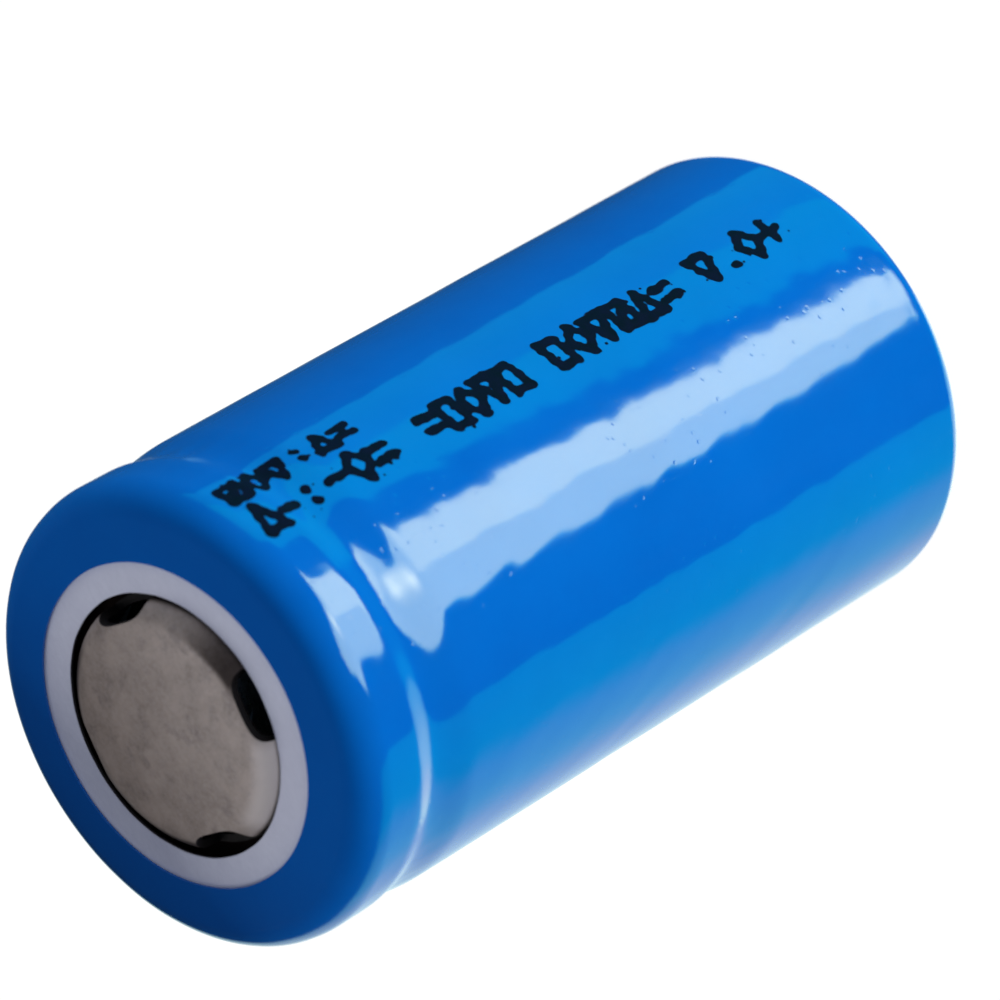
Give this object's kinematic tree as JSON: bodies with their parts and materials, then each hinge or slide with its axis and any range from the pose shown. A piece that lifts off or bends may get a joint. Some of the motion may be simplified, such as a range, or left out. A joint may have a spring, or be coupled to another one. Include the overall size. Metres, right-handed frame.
{
  "type": "cylindrical battery cell",
  "caption": "Cylindrical lithium-ion cell: steel can in a blue film sleeve, pale ring washer, raised flat positive cap with vent windows, wound electrode roll inside.",
  "frame": {"origin": "centre of the negative terminal face", "axes": "+Z along the cell's axis towards the positive end; +X and +Y are across the cell, set by the place of the vent windows"},
  "size_m": [0.0184, 0.0184, 0.035],
  "materials": {
    "film": "glossy blue heat-shrink film",
    "washer": "pale fibre paper washer, matt",
    "can_nickel": "nickel-plated drawn steel, satin",
    "cap_nickel": "nickel-plated stamped steel, satin and slightly mottled",
    "seal_plastic": "natural polypropylene",
    "ptc_polymer": "black conductive polymer",
    "disc_aluminium": "bare stamped aluminium",
    "tab_aluminium": "bare aluminium strip",
    "tab_nickel": "bright nickel strip",
    "tape_amber": "amber polyimide tape",
    "tape_green": "green polyester tape",
    "fibre": "pressed fibre sheet",
    "cathode_coating": "black oxide coating on aluminium foil",
    "anode_coating": "graphite coating on copper foil",
    "separator_film": "white porous polyolefin film"
  },
  "bodies": {
    "cell": {"wrap_sleeve": "film", "top_insulator_ring": "washer", "steel_can": "can_nickel", "crimp_gasket": "seal_plastic", "positive_cap": "cap_nickel", "ptc_ring": "ptc_polymer", "vent_disc_rim": "disc_aluminium", "cid_insulator_ring": "seal_plastic", "cid_plate": "disc_aluminium", "positive_tab": "tab_aluminium", "positive_tab_tape": "tape_amber", "top_insulator_disc": "fibre", "cathode_sheet": "cathode_coating", "anode_sheet": "anode_coating", "separator_inner": "separator_film", "separator_outer": "separator_film", "roll_tape": "tape_green", "bottom_insulator_disc": "fibre", "negative_tab": "tab_nickel", "negative_tab_tape": "tape_amber"},
    "pressure_disc": {"vent_disc_centre": "disc_aluminium"}
  },
  "joints": [
    {"name": "pressure_disc_snap", "type": "slide", "parent": "cell", "child": "pressure_disc", "axis": [0, 0, 1], "range_m": [0, 0.0004]}
  ]
}
